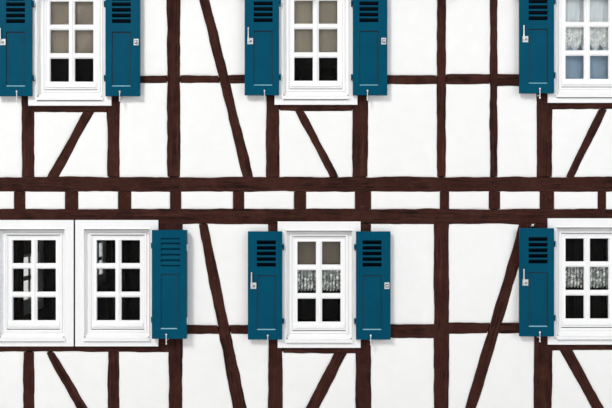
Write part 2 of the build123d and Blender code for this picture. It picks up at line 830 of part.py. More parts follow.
# Curtains hang behind the middle panes of three front windows
curtain_y = sash_face + sash_thick + curtain_thick / 2
curtain_places = [place_of[w] for w in (lower_middle_window, lower_right_window, upper_right_window)]
with BuildPart() as lace_curtains:
    with Locations(*[spot * Location((0, curtain_y, curtain_foot)) for spot in curtain_places]):
        Box(curtain_width, curtain_thick, curtain_height, align=(Align.CENTER, Align.CENTER, Align.MIN))
save(lace_curtains.part, "lace_curtains")

# Rear door in its frame, with stone steps up to its threshold
with BuildPart() as rear_door_frame:
    with BuildSketch(rear):
        draw([door_hole])
        draw([upright(door_x - door_width / 2, door_x + door_width / 2, z_lower, z_lower + door_height)],
             Mode.SUBTRACT)
    extrude(amount=-timber)
save(rear_door_frame.part, "rear_door_frame")
with BuildPart() as rear_door:
    with BuildSketch(rear.offset(-(timber - door_thick) / 2)):
        draw([upright(door_x - door_width / 2, door_x + door_width / 2, z_lower, z_lower + door_height)])
    extrude(amount=-door_thick)
save(rear_door.part, "rear_door")
step_rise = z_lower / (step_count + 1)
with BuildPart() as door_steps:
    for step in range(step_count):
        out = (step_count - step) * step_tread
        with Locations((-door_x, half_d + plinth_lip, 0)):
            Box(step_width, out, (step + 1) * step_rise, align=(Align.CENTER, Align.MIN, Align.MIN))
save(door_steps.part, "door_steps")
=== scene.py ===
# %% [markdown]
# # A half-timbered house
# The imported model brings every beam, panel, window and shutter at its real
# place. This lesson dresses it: hewn timber edges, plaster that swells
# between the timbers, glazing bars, roof tiles laid one by one, and paint.
# We start by loading the frame.

# %% Load the frame
import bmesh
import bpy
import math
import random
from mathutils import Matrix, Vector, noise


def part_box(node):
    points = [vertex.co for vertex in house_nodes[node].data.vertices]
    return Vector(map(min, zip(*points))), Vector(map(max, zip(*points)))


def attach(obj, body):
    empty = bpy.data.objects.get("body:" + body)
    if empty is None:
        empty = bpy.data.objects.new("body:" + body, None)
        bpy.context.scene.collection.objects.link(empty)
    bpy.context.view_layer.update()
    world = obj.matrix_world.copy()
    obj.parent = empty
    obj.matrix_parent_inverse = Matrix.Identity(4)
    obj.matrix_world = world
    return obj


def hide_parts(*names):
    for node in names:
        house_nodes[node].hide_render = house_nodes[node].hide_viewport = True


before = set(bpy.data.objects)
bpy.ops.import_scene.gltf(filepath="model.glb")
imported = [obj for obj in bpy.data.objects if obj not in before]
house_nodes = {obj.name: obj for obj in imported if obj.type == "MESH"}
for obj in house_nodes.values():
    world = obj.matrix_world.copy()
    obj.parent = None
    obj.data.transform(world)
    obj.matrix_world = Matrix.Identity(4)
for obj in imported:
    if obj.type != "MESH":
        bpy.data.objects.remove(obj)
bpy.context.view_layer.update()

# %% [markdown]
# ## Sizes that the dressing shares with the frame
# Blender works in metres. The walls' outer faces are planes, so each wall is
# an outward direction and a distance from the middle of the house. Reading
# the distances from the nodes' boxes keeps the lesson true to the frame.
# Small profiles are easier to read in millimetres, so they are written so.

# %% Walls
UP = Vector((0, 0, 1))
front_reach = -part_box("front_beams")[0][1]
side_reach = -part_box("gable_beams")[0][0]
WALLS = {
    "front": (Vector((0, -1, 0)), front_reach),
    "rear": (Vector((0, 1, 0)), front_reach),
    "left": (Vector((-1, 0, 0)), side_reach),
    "right": (Vector((1, 0, 0)), side_reach),
}
wall_thickness = .14
print("front wall at", round(front_reach, 3), "m, gables at", round(side_reach, 3), "m")


def wall_point(wall, across, out, up):
    """A point given across the wall, out from its timber face, and up."""
    outward, reach = WALLS[wall]
    return UP.cross(outward) * across + outward * (reach + out) + UP * up


def mm(*rows):
    """Rows of millimetres as rows of metres."""
    return [tuple(value / 1000 for value in row) for row in rows]


# %% [markdown]
# ## Helpers for meshes
# Most pieces here are rings of points joined by faces: a timber, a plaster
# panel, a plate, a turned knob. A store collects many of them and makes one
# object, gives it a material, and lets it ride on a body of the frame.

# %% Mesh helpers
def new_object(name, vertices, faces, material):
    """Make a mesh object from plain lists of points and faces."""
    mesh = bpy.data.meshes.new(name)
    mesh.from_pydata([tuple(v) for v in vertices], [], faces)
    mesh.validate()
    mesh.update()
    mesh.materials.append(material)
    piece = bpy.data.objects.new(name, mesh)
    bpy.context.scene.collection.objects.link(piece)
    return piece


def give_tones(piece, tones):
    """Store one grey value a face, for materials that vary by piece."""
    layer = piece.data.attributes.new("tone", "FLOAT_COLOR", "FACE")
    for item, tone in zip(layer.data, tones):
        item.color = (tone, tone, tone, 1.0)


def map_texture(piece, name, places):
    """Give a piece a texture layer from one flat place a point."""
    layer = piece.data.uv_layers.new(name=name)
    for loop in piece.data.loops:
        layer.data[loop.index].uv = places[loop.vertex_index]


def paint_node(name, material, bevel=0.0, segments=2):
    """Give a carried-over node its finish and round its sharp edges."""
    mesh = house_nodes[name].data
    mesh.materials.clear()
    mesh.materials.append(material)
    if bevel:
        modifier = house_nodes[name].modifiers.new("soft edges", "BEVEL")
        modifier.width = bevel
        modifier.segments = segments
        modifier.limit_method = "ANGLE"
        modifier.angle_limit = math.radians(40)


def between(first, second, count):
    """Faces between two rings of points, given where each ring starts."""
    return [(first + i, first + (i + 1) % count, second + (i + 1) % count, second + i) for i in range(count)]


def tube(rings, count):
    """Faces that join rings of points in a row and close both ends."""
    faces = [face for ring in range(rings - 1) for face in between(ring * count, (ring + 1) * count, count)]
    return faces + [tuple(reversed(range(count))), tuple(range((rings - 1) * count, rings * count))]


def rectangles(wall, across, up, wide, high, steps):
    """Corners of a rectangle of half sizes, once for each (inset, out)."""
    return [
        wall_point(wall, across + u * (wide - inset), out, up + z * (high - inset))
        for inset, out in steps for u, z in ((-1, -1), (1, -1), (1, 1), (-1, 1))
    ]


# %% A store of solids
class Store:
    """Points and faces of many small solids that become one piece."""

    def __init__(self):
        self.points, self.faces = [], []

    def solid(self, points, faces):
        """Add a closed set of points and faces."""
        start = len(self.points)
        self.points += points
        self.faces += [tuple(start + i for i in face) for face in faces]

    def plate(self, wall, across, up, wide, high, back, front, chamfer=.003):
        """A plate of half sizes whose front edges are chamfered."""
        steps = [(0, back), (0, front - chamfer), (chamfer, front)]
        self.solid(rectangles(wall, across, up, wide, high, steps), tube(3, 4))

    def band(self, wall, across, up, wide, high, profile):
        """Carry a profile of (inset, out) round a rectangle of half sizes."""
        rings = [4 * i for i in range(len(profile))]
        faces = [face for a, b in zip(rings, rings[1:] + rings[:1]) for face in between(a, b, 4)]
        self.solid(rectangles(wall, across, up, wide, high, profile), faces)

    def run(self, wall, across, up, wide, high, profile):
        """Carry a profile of (aside, out) along a line of half sizes."""
        way = Vector((wide, high)).normalized()
        points = [
            wall_point(wall, across + end * wide + way.y * aside, out, up + end * high - way.x * aside)
            for end in (-1, 1) for aside, out in profile
        ]
        self.solid(points, tube(2, len(profile)))

    def lathe(self, wall, across, out, up, way, sides, profile):
        """Turn a profile of (along, radius) up, out of a wall or along it."""
        outward = WALLS[wall][0]
        axis = {"up": UP, "out": outward, "right": UP.cross(outward), "left": outward.cross(UP)}[way]
        first = axis.orthogonal().normalized()
        second = axis.cross(first)
        foot = wall_point(wall, across, out, up)
        turns = [2 * math.pi * i / sides for i in range(sides)]
        points = [
            foot + axis * along + (first * math.cos(turn) + second * math.sin(turn)) * radius
            for along, radius in profile for turn in turns
        ]
        self.solid(points, tube(len(profile), sides))

    def piece(self, name, material, body, slot, replaced=None):
        """Make the piece with its faces turned outward, and let it ride on a body."""
        made = new_object(name, self.points, self.faces, material)
        shape = bmesh.new()
        shape.from_mesh(made.data)
        bmesh.ops.recalc_face_normals(shape, faces=shape.faces)
        shape.to_mesh(made.data)
        shape.free()
        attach(made, body)
        if replaced:
            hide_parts(replaced)
        print(name, len(made.data.polygons), "faces")
        return made


# %% [markdown]
# ## Shared shader groups
# Three effects come back in many materials, so each is a node group with
# named inputs: *grain* for sawn and hewn wood, *mottle* for slow changes of
# colour, and *edge wear* for arrises where paint and stain rub off. A group
# hands out masks, and the Principled shader stays in the material.

# %% Node helpers
class Tree:
    """A shader tree with short ways to add and join its nodes."""

    def __init__(self, tree):
        self.tree, self.nodes = tree, tree.nodes

    def put(self, socket, value):
        """Link a socket into an input, or set the input to a plain value."""
        if isinstance(value, bpy.types.NodeSocket):
            self.tree.links.new(value, socket)
        else:
            socket.default_value = value

    def feed(self, node, **inputs):
        """Put values into a node's named inputs."""
        for label, value in inputs.items():
            self.put(node.inputs[label.replace("_", " ")], value)
        return node

    def add(self, kind, **inputs):
        """Add a shader node with its named inputs."""
        return self.feed(self.nodes.new(f"ShaderNode{kind}"), **inputs)

    def calc(self, operation, first, second=0.0, clamp=False):
        """A maths node whose inputs are sockets or numbers."""
        node = self.add("Math")
        node.operation, node.use_clamp = operation, clamp
        for socket, value in zip(node.inputs, (first, second)):
            self.put(socket, value)
        return node.outputs[0]

    def ramp(self, value, start, gain):
        """The part of a value past a start, times a gain, kept from 0 to 1."""
        return self.calc("MULTIPLY", self.calc("SUBTRACT", value, start), gain, clamp=True)

    def noise(self, vector, scale, detail, roughness):
        """Fractal noise on a vector."""
        return self.add("TexNoise", Vector=vector, Scale=scale, Detail=detail, Roughness=roughness).outputs["Fac"]

    def use(self, group, vector, **values):
        """Place a shader group, set its named inputs and hand on its outputs."""
        node = self.add("Group")
        node.node_tree = group.tree
        return self.feed(node, Vector=vector, **values).outputs

    def blend(self, factor, first, second, how="MIX"):
        """Mix two colours; each is a socket or (r, g, b) in thousandths."""
        mix = self.add("Mix")
        mix.data_type, mix.blend_type = "RGBA", how
        self.put(mix.inputs["Factor"], factor)
        for index, colour in ((6, first), (7, second)):
            if isinstance(colour, tuple):
                colour = *(c / 1000 for c in colour), 1.0
            self.put(mix.inputs[index], colour)
        return mix.outputs[2]


def shader_group(name, inputs, outputs):
    """Start a shader group: a vector and numbers in, numbers out."""
    group = bpy.data.node_groups.new(name, "ShaderNodeTree")
    socket = group.interface.new_socket
    socket("Vector", in_out="INPUT", socket_type="NodeSocketVector")
    for label, value in inputs.items():
        socket(label, in_out="INPUT", socket_type="NodeSocketFloat").default_value = value
    for label in outputs:
        socket(label, in_out="OUTPUT", socket_type="NodeSocketFloat")
    return Tree(group), group.nodes.new("NodeGroupInput").outputs, group.nodes.new("NodeGroupOutput")


# %% Grain group
grain_group, given, leave = shader_group("wood grain", {"Fineness": 60.0, "Checks": .5}, ("Grain", "Checks"))
along_fibre = .04
check_sharpness = 38.0
stretch = grain_group.add("Mapping", Vector=given["Vector"], Scale=(1.0, along_fibre, 1.0))
fibres = grain_group.noise(stretch.outputs[0], given["Fineness"], 5, .65)
coarse_scale = grain_group.calc("MULTIPLY", given["Fineness"], .35)
splits = grain_group.noise(stretch.outputs[0], coarse_scale, 3, .5)
nearness = grain_group.calc("ABSOLUTE", grain_group.calc("SUBTRACT", splits, .5))
line = grain_group.ramp(nearness, 1 / check_sharpness, -check_sharpness)
where = grain_group.ramp(grain_group.noise(given["Vector"], 3.0, 2, .5), .43, 9.0)
check = grain_group.calc("MULTIPLY", grain_group.calc("MULTIPLY", line, where), given["Checks"])
grain_group.feed(leave, Grain=fibres, Checks=check)

# %% Mottle group
mottle_group, given, leave = shader_group("mottle", {"Size": 2.0, "Contrast": 1.5}, ("Mask", "Speckle"))
slow = mottle_group.noise(given["Vector"], given["Size"], 5, .6)
centred = mottle_group.calc("SUBTRACT", slow, .5)
scaled = mottle_group.calc("MULTIPLY", centred, given["Contrast"])
mask = mottle_group.calc("ADD", scaled, .5, clamp=True)
fine_scale = mottle_group.calc("MULTIPLY", given["Size"], 40.0)
fine = mottle_group.noise(given["Vector"], fine_scale, 3, .6)
mottle_group.feed(leave, Mask=mask, Speckle=fine)

# %% Edge wear group
wear_group, given, leave = shader_group("edge wear", {"Reach": 5.0, "Patch Size": 18.0}, ("Wear",))
pointiness = wear_group.add("NewGeometry").outputs["Pointiness"]
edge = wear_group.ramp(pointiness, .51, given["Reach"])
patches = wear_group.noise(given["Vector"], given["Patch Size"], 4, .7)
patchy = wear_group.ramp(patches, .45, 5.0)
wear_group.feed(leave, Wear=wear_group.calc("MULTIPLY", edge, patchy))
print("shader groups:", [g.tree.name for g in (grain_group, mottle_group, wear_group)])

# %% [markdown]
# ## Materials
# Each material is a short list: the colours between which the mottle
# wanders, the roughness, and how strongly grain or speckle lifts the surface.
# Values that are the same all over are set on the shader's own sockets,
# where an exporter can find them.

# %% Material helpers
class Surface(Tree):
    """A material with its Principled shader and object coordinates."""

    def __init__(self, name, roughness, metallic=0.0, gloss=.5):
        self.material = bpy.data.materials.new(name)
        self.material.use_nodes = True
        super().__init__(self.material.node_tree)
        self.shader = self.nodes["Principled BSDF"]
        self.feed(self.shader, Roughness=roughness, Metallic=metallic, Specular_IOR_Level=gloss)
        self.place = self.add("TexCoord").outputs["Object"]

    def finish(self, colour, height, strength, distance):
        """Colour the surface, bump it by a height mask, hand on the material."""
        bump = self.add("Bump", Strength=strength, Distance=distance, Height=height)
        self.feed(self.shader, Base_Color=colour, Normal=bump.outputs["Normal"])
        return self.material


def darker(colour, share):
    """The same colour at a share of its strength."""
    return tuple(share * c for c in colour)


# %% Timber finish
def timber_finish(name, dark, light, worn, turned=None, checks=.9, reach=6.0, mirrored=False):
    """Stained oak: fine grain along the timber, dark checks, rubbed arrises."""
    tree = Surface(name, .7, gloss=.08)
    if turned is None:
        along = tree.add("UVMap")
        along.uv_map = "grain"
        vector = along.outputs["UV"]
    else:
        vector = tree.place
        if mirrored:
            fold = tree.add("VectorMath", Vector=tree.place)
            fold.operation = "ABSOLUTE"
            vector = fold.outputs[0]
        vector = tree.add("Mapping", Vector=vector, Rotation=turned).outputs[0]
    grain = tree.use(grain_group, vector, Fineness=70.0, Checks=checks)
    streak = tree.use(grain_group, vector, Fineness=19.0, Checks=checks)
    mottle = tree.use(mottle_group, tree.place, Size=3.0, Contrast=2.2)
    wear = tree.use(wear_group, tree.place, Reach=reach, Patch_Size=14.0)
    colour = tree.blend(mottle["Mask"], dark, light)
    colour = tree.blend(grain["Grain"], darker(dark, .62), colour)
    pale = tree.ramp(streak["Grain"], .56, 3.2)
    colour = tree.blend(pale, colour, tuple(1.75 * c + 8 for c in light))
    colour = tree.blend(streak["Checks"], colour, darker(dark, .35))
    colour = tree.blend(wear["Wear"], colour, worn)
    colour = tree.blend(grain["Checks"], colour, (8, 4, 3))
    height = tree.calc("SUBTRACT", tree.calc("ADD", grain["Grain"], pale), grain["Checks"])
    return tree.finish(colour, height, .7, .006)


STAIN = (36, 10.5, 7.5), (68, 20.5, 13.5), (110, 55, 40)
RAFTER = (60, 30, 20), (110, 55, 35), (200, 130, 90)
FLOOR_OAK = (70, 40, 22), (120, 72, 40), (160, 100, 60)
upright_grain = (math.pi / 2, 0, 0)
pitch = math.radians(47)
oak_stain = timber_finish("timber stain", *STAIN)
joist_stain = timber_finish("joist stain", *STAIN, (0, 0, 0), .5, 0.0)
post_stain = timber_finish("post stain", *STAIN, upright_grain, .9, 0.0)
rafter_stain = timber_finish("rafter stain", *RAFTER, (pitch, 0, 0), .7, 0.0, True)
floor_oak = timber_finish("floor oak", *FLOOR_OAK, (0, 0, math.pi / 2), .2)

# %% Plaster and paint
def limewashed_plaster():
    """White limewash over trowelled plaster, a little greyer in its hollows."""
    tree = Surface("limewash", .9)
    mottle = tree.use(mottle_group, tree.place, Size=1.6, Contrast=1.4)
    trowel = tree.use(mottle_group, tree.place, Size=7.0, Contrast=1.6)
    wash = tree.blend(mottle["Mask"], (840, 840, 830), (890, 890, 880))
    speck = tree.blend(trowel["Speckle"], (790, 785, 775), wash)
    colour = tree.blend(trowel["Mask"], speck, wash)
    height = tree.calc("ADD", tree.calc("MULTIPLY", trowel["Speckle"], .35), trowel["Mask"])
    return tree.finish(colour, height, .35, .006)


def brushed_paint(name, shade, deep, chalk, roughness, wear_reach=0.0, underside_shade=None, gloss=.12):
    """Paint put on with a brush: faint strokes, slow fading, and undersides darkened as painted shade when a shade
    colour is given.
    """
    tree = Surface(name, roughness, gloss=gloss)
    upright = tree.add("Mapping", Vector=tree.place, Rotation=upright_grain).outputs[0]
    strokes = tree.use(grain_group, upright, Fineness=110.0, Checks=0.0)
    fade = tree.use(mottle_group, tree.place, Size=2.4, Contrast=1.8)
    wear = tree.use(wear_group, tree.place, Reach=wear_reach, Patch_Size=26.0)
    colour = tree.blend(fade["Mask"], deep, shade)
    colour = tree.blend(strokes["Grain"], darker(deep, .86), colour)
    colour = tree.blend(wear["Wear"], colour, chalk)
    # Painted shade: faces that look down are darkened towards a near-black colour, for the shade under slats and
    # ledges.
    if underside_shade:
        facing = tree.add("NewGeometry").outputs["Normal"]
        level = tree.add("SeparateXYZ", Vector=facing).outputs["Z"]
        under = tree.calc("MULTIPLY", level, -2.6, clamp=True)
        colour = tree.blend(under, colour, underside_shade)
    return tree.finish(colour, strokes["Grain"], .25, .0015)


limewash = limewashed_plaster()
# The teal's near-black underside colour is painted shade in the louvre slots.
teal_paint = brushed_paint(
    "teal shutter paint", (0, 92, 160), (0, 60, 112), (50, 160, 200), .42,
    underside_shade=(0, 4, 8), gloss=.05)
BARE_WOOD = (600, 580, 540)
white_paint = brushed_paint("white window paint", (940, 940, 945), (900, 895, 900), BARE_WOOD, .38)
# A lighter copy of the white paint for sashes, frames and bars, brightened to make up for the shade of the window
# recess: painted light.
brightened_sash_paint = brushed_paint("white sash paint", (985, 985, 985), (965, 962, 965), BARE_WOOD, .38)
door_paint = brushed_paint("door paint", (50, 22, 15), (35, 14, 10), (120, 80, 60), .45, 4.0)

# %% Stone, clay, iron, cloth and glass
def speckled(name, first, second, speck, roughness, size, bump, metallic=0.0, gloss=.5, tones=None):
    """Two slow tones, a speckle and a fine bump, as stone or cloth has them.

    With two tones more, each face's own grey sets where between them it is."""
    tree = Surface(name, roughness, metallic, gloss)
    mottle = tree.use(mottle_group, tree.place, Size=size, Contrast=2.4)
    colour = tree.blend(mottle["Mask"], first, second)
    colour = tree.blend(mottle["Speckle"], speck, colour)
    if tones:
        own = tree.add("Attribute")
        own.attribute_name = "tone"
        grey = tree.add("SeparateColor", Color=own.outputs["Color"]).outputs[0]
        colour = tree.blend(1.0, colour, tree.blend(grey, *tones), "MULTIPLY")
    return tree.finish(colour, mottle["Speckle"], .5, bump)


TONES = ((550, 500, 480), (1000, 1000, 1000)), ((700, 680, 660), (1000, 1000, 1000))
# Name, two colours, speckle, roughness, size, bump, then metal, gloss, tones.
(clay_tile, plinth_stone, mortar, black_iron, room_shade_wash, gap_shade, painted_shadow_line, highlight_ledge_paint, shade_gauze, nickel,
 blind_linen, faded_linen, net_cloth, sky_reflection_cloth) = (speckled(*row) for row in (
    ("clay tile", (300, 100, 55), (420, 150, 80), (160, 60, 40), .8, 2.5, .003, 0, .5, TONES[0]),
    ("plinth sandstone", (360, 260, 190), (460, 360, 280), (240, 170, 130), .88, 4, .006, 0, .5, TONES[1]),
    ("lime mortar", (500, 470, 410), (600, 570, 500), (400, 370, 320), .92, 6, .004),
    ("black iron", (20, 20, 21), (35, 33, 32), (50, 35, 28), .5, 20, .0008, .6),
    # Near-black brown, painted shade for the rooms seen through the windows.
    ("room distemper", (45, 37, 27), (65, 53, 40), (30, 26, 20), .95, 2, .002),
    # Grey painted shade for the strips in the windows' gaps.
    ("grey of a gap", (170, 150, 140), (230, 205, 190), (120, 105, 100), .9, 12, .0005),
    # Near-black painted shadow for the shutters' panel edges and lock recesses.
    ("paint in a joint", (1, 6, 12), (2, 12, 20), (0, 3, 6), .8, 9, .0005),
    # Pale teal, a painted highlight for the light caught by the ledge under each panel.
    ("chalked ledge", (200, 420, 500), (320, 550, 620), (100, 280, 360), .5, 30, .0004),
    # Near-black sheet behind the louvres, painted shade for the slots.
    ("black gauze", (4, 5, 6), (8, 9, 10), (2, 2, 3), .9, 60, .0006, 0, .05),
    ("nickelled steel", (720, 730, 730), (860, 870, 870), (500, 500, 500), .34, 40, .0003, .35),
    ("blind linen", (150, 118, 93), (178, 142, 112), (132, 104, 82), .9, 8, .0008),
    ("faded linen", (290, 243, 194), (350, 295, 235), (250, 210, 168), .9, 8, .0008),
    ("pale net", (860, 900, 950), (950, 970, 990), (700, 770, 860), .9, 8, .0008),
    # Slate blue, a painted reflection of the sky in the panes.
    ("slate cloth", (300, 400, 530), (350, 450, 570), (250, 350, 480), .9, 8, .0008),
))


def window_glass():
    """Old float glass, faintly uneven, with a grey tint that darkens the room behind it as painted shade."""
    tree = Surface("pane glass", .03)
    tree.feed(tree.shader, Transmission_Weight=1.0, IOR=1.12)
    mottle = tree.use(mottle_group, tree.place, Size=1.2, Contrast=1.6)
    # The grey tint is painted shade for the room seen through the glass.
    shade_tint = tree.blend(mottle["Mask"], (780, 800, 790), (860, 870, 850))
    return tree.finish(shade_tint, mottle["Mask"], .08, .004)


def curtain_lace(name, fold, backing):
    """Cotton lace: dense flowers on an open mesh whose holes let the dark through, with bands of painted shade along
    its folds.
    """
    tree = Surface(name, .85)
    cloth = tree.add("UVMap")
    cloth.uv_map = "cloth"
    spread = tree.add("Mapping", Vector=cloth.outputs["UV"], Scale=(2.0, 1.0, 1.0)).outputs[0]
    flowers = tree.add("TexVoronoi", Vector=spread, Scale=5.0).outputs["Distance"]
    mesh = tree.add("TexVoronoi", Vector=spread, Scale=26.0).outputs["Distance"]
    mottle = tree.use(mottle_group, spread, Size=9.0, Contrast=3.0)
    petal = tree.ramp(flowers, .42, -9.0)
    thread = tree.ramp(mesh, .30, 7.0)
    across = tree.add("SeparateXYZ", Vector=cloth.outputs["UV"]).outputs["X"]
    fold_shade_bands = tree.calc("SINE", tree.calc("MULTIPLY", across, 88.0))
    dense = tree.calc("MAXIMUM", petal, tree.calc("MULTIPLY", thread, mottle["Mask"]))
    cover = tree.calc("ADD", tree.calc("MULTIPLY", dense, .85), backing, clamp=True)
    colour = tree.blend(dense, (660, 700, 690), (970, 980, 970))
    # Painted shade: bands across the cloth take the fold colour, darker in the valleys of the folds.
    colour = tree.blend(tree.ramp(fold_shade_bands, .2, 1.4), colour, fold)
    tree.feed(tree.shader, Alpha=cover)
    return tree.finish(colour, dense, .5, .002)


pane_glass = window_glass()
lace = curtain_lace("curtain lace", (200, 210, 190), .14)
bright_lace = curtain_lace("bright lace", (800, 830, 880), .55)
print(len(bpy.data.materials), "materials")

# %% [markdown]
# ## Hewn timbers and swelling plaster
# In the frame each timber is a clean prism. On the real wall the axe left
# the arrises wavy, and the plaster swells a little in the middle of a panel.
# We read each solid's outer face from its node, walk round it in short
# steps, push every step a few millimetres to and fro with smooth noise, and
# build rings from the face back into the wall. Neighbouring pieces share the
# same noise, so the joints stay closed.

# %% Reading outlines from a node
def welded(node):
    """A node's mesh with its double points joined."""
    shape = bmesh.new()
    shape.from_mesh(house_nodes[node].data)
    bmesh.ops.remove_doubles(shape, verts=shape.verts, dist=1e-5)
    return shape


def sides_of(loop):
    """Each point of a loop with the next one."""
    return list(zip(loop, loop[1:] + loop[:1]))


def outer_outlines(node):
    """Outlines of a node's faces that lie in the walls' outer planes."""
    shape = welded(node)
    bmesh.ops.dissolve_limit(shape, angle_limit=.01, verts=shape.verts, edges=shape.edges)
    outlines = []
    for outward, reach in WALLS.values():
        for face in shape.faces:
            near = reach - outward.dot(face.calc_center_median())
            if face.normal.dot(outward) > .99 and -.001 < near < .012:
                outlines.append((outward, [v.co + outward * near for v in face.verts]))
    shape.free()
    return outlines


def inward_directions(path, outward, sharpest):
    """For each point of a loop, the way into it, longer at sharp corners."""
    directions = []
    for before, here, after in zip(path[-1:] + path[:-1], path, path[1:] + path[:1]):
        first = outward.cross((here - before).normalized())
        second = outward.cross((after - here).normalized())
        middle = (first + second).normalized()
        directions.append(middle / max(sharpest, middle.dot(first)))
    return directions


def inset_loop(corners, ways, inset, counts):
    """The outline drawn in by an inset, with the same steps on every side."""
    moved = [corner + way * inset for corner, way in zip(corners, ways)]
    sides = zip(sides_of(moved), counts)
    return [first.lerp(second, i / count) for (first, second), count in sides for i in range(count)]


def roughness(point, outward):
    """Smooth noise of three sizes along an edge."""
    broad = noise.noise(point * 2.6 + outward * 3.1)
    return broad + .6 * noise.noise(point * 8.0) + .3 * noise.noise(point * 23.0)


def ringed(outline, outward, rings, step, wobble):
    """Rings of points from (inset, height) pairs, and the faces between them."""
    counts = [max(1, math.ceil((b - a).length / step)) for a, b in sides_of(outline)]
    corner_ways = inward_directions(outline, outward, .12)
    path = inset_loop(outline, corner_ways, 0.0, counts)
    ways = inward_directions(path, outward, .45)
    shifts = [way * wobble * roughness(p, outward) for p, way in zip(path, ways)]
    points = []
    for inset, height in rings:
        loop = inset_loop(outline, corner_ways, inset, counts)
        points += [p + shift + outward * height for p, shift in zip(loop, shifts)]
    return points, tube(len(rings), len(path))


# %% Timbers
arris, timber_step, timber_wobble = .006, .055, .011
TIMBER_RINGS = [(.001, .001 - wall_thickness), (0.0, -arris * 1.4), (arris * .35, -arris * .4), (arris, 0.0)]


def hewn(name, node):
    """Replace a node's timbers by hewn ones that run back into the wall."""
    store, grain = Store(), []
    for outward, outline in outer_outlines(node):
        points, faces = ringed(outline, outward, TIMBER_RINGS, timber_step, timber_wobble)
        start, end = max(sides_of(outline), key=lambda side: (side[1] - side[0]).length)
        along = (end - start).normalized()
        across = outward.cross(along)
        shift = len(store.faces) * .137 % 7.0
        grain += [(p.dot(across) + p.dot(outward) + shift, p.dot(along)) for p in points]
        store.solid(points, faces)
    piece = store.piece(name, oak_stain, "house", "timber_front", node)
    map_texture(piece, "grain", grain)


for wall in ("front", "rear", "gable"):
    for kind in ("beams", "posts", "rails", "braces"):
        hewn(f"{wall}_hewn_{kind}", f"{wall}_{kind}")
paint_node("corner_posts", post_stain, .006)
paint_node("floor_joists", joist_stain, .005)

# %% Plaster panels
set_back = .008
narrow_panel = .26
PLASTER_STEPS = mm((3, -8), (12, -4), (30, -1), (60, 1))


def outline_width(outline):
    """Twice the area over half the round: the width of a long strip."""
    area = sum((first.cross(second) for first, second in sides_of(outline)), Vector((0, 0, 0)))
    return area.length / sum((b - a).length for a, b in sides_of(outline))


def depth_in_wall(point):
    """How far a point lies from the nearest outer plane of the walls."""
    return min(abs(reach - outward.dot(point)) for outward, reach in WALLS.values())


def plastered(name, node):
    """Replace a node's panels by plaster that swells out from the timbers."""
    store = Store()
    for outward, outline in outer_outlines(node):
        tight = min(1.0, outline_width(outline) / narrow_panel)
        rings = [(-.018, .012 - wall_thickness), (-.018, -set_back - .004)]
        rings += [(inset * tight, height) for inset, height in PLASTER_STEPS]
        store.solid(*ringed(outline, outward, rings, .09, 0.0))
    piece = store.piece(name, limewash, "house", "plaster", node)
    # The inner faces get a near-black brown so that the rooms seen through the glass look dark: painted shade.
    piece.data.materials.append(room_shade_wash)
    for face in piece.data.polygons:
        if len(face.vertices) > 4 and depth_in_wall(face.center) > wall_thickness / 2:
            face.material_index = 1
    piece.data.shade_smooth()


for wall in ("front", "rear", "gable"):
    plastered(f"{wall}_plaster", f"{wall}_infill")

# %% [markdown]
# ## Window joinery
# A casement is built up from small mouldings: a stepped frame, a drip rail,
# two leaves that meet under a cover bead, and glazing bars that hold six
# panes. Each moulding is a profile carried round a rectangle or along a
# line, as the joiner's plane made it. The places come from the panes of the
# frame, so every window of the house gets them.

# %% Places of the windows
def islands(node):
    """Lowest and highest corners of each separate solid of a node."""
    shape = welded(node)
    seen, boxes = set(), []
    for start in shape.verts:
        if start in seen:
            continue
        seen.add(start)
        queue, found = [start], []
        while queue:
            vertex = queue.pop()
            found.append(vertex.co.copy())
            fresh = {edge.other_vert(vertex) for edge in vertex.link_edges} - seen
            seen |= fresh
            queue += fresh
        boxes.append([Vector(map(pick, zip(*found))) for pick in (min, max)])
    shape.free()
    return boxes


def place_on_wall(low, high, out):
    """The wall near which a solid stands, its place across it, its middle."""
    middle = (low + high) / 2
    wall = min(WALLS, key=lambda w: abs(WALLS[w][0].dot(middle) - WALLS[w][1] - out))
    return wall, UP.cross(WALLS[wall][0]).dot(middle), middle


pane_centre_up, pane_depth = .7175, .055
windows = []
for node in ("front_window_glass", "other_window_glass"):
    for low, high in islands(node):
        wall, across, middle = place_on_wall(low, high, -pane_depth)
        windows.append((wall, across, middle.z - pane_centre_up))
windows.sort(key=lambda w: (w[0], w[2], w[1]))
front_windows = [w for w in windows if w[0] == "front"]
print(len(windows), "windows, in front:", [(round(x, 3), round(z, 3)) for _, x, z in front_windows])

# %% Glazing bars and mouldings
pane_foot, pane_high, pane_half = .27, .895, .2425
meeting_stile, cross_bar = .060, .053
light_wide = pane_half - meeting_stile / 2
light_high = (pane_high - 2 * cross_bar) / 3
bar_start, bar_end = meeting_stile * .45, pane_half + .004
bar_middle, bar_half = (bar_start + bar_end) / 2, (bar_end - bar_start) / 2
# Half profiles of (aside, out); the other half mirrors them.
MEETING_HALF = mm((-30, -51.5), (-30, -40), (-25, -34.5), (-15, -34.5), (-15, -28), (-10, -23))
BAR_HALF = mm((-26.5, -51.5), (-26.5, -46), (-17, -37), (-12, -34.5))
meeting_profile, bar_profile = (half + [(-a, out) for a, out in reversed(half)] for half in (MEETING_HALF, BAR_HALF))
# Bands: height of the middle, half sizes, and a profile of (inset, out).
BANDS = (
    (.6975, .2905, .5155, mm((0, -33.5), (0, -26.5), (4, -23.5), (11, -23.5), (15, -26.5), (15, -33.5))),
    (.6975, .3215, .5465, mm((0, -21.5), (0, -14), (4, -10), (12, -10), (18, -15), (18, -21.5))),
    (.691, .3625, .599, mm((0, 24), (0, 28.5), (4, 31), (5, 24))),
)
PANE_BEAD = mm((-3, -38.5), (3, -44.5), (5, -51.8), (-3, -51.8))
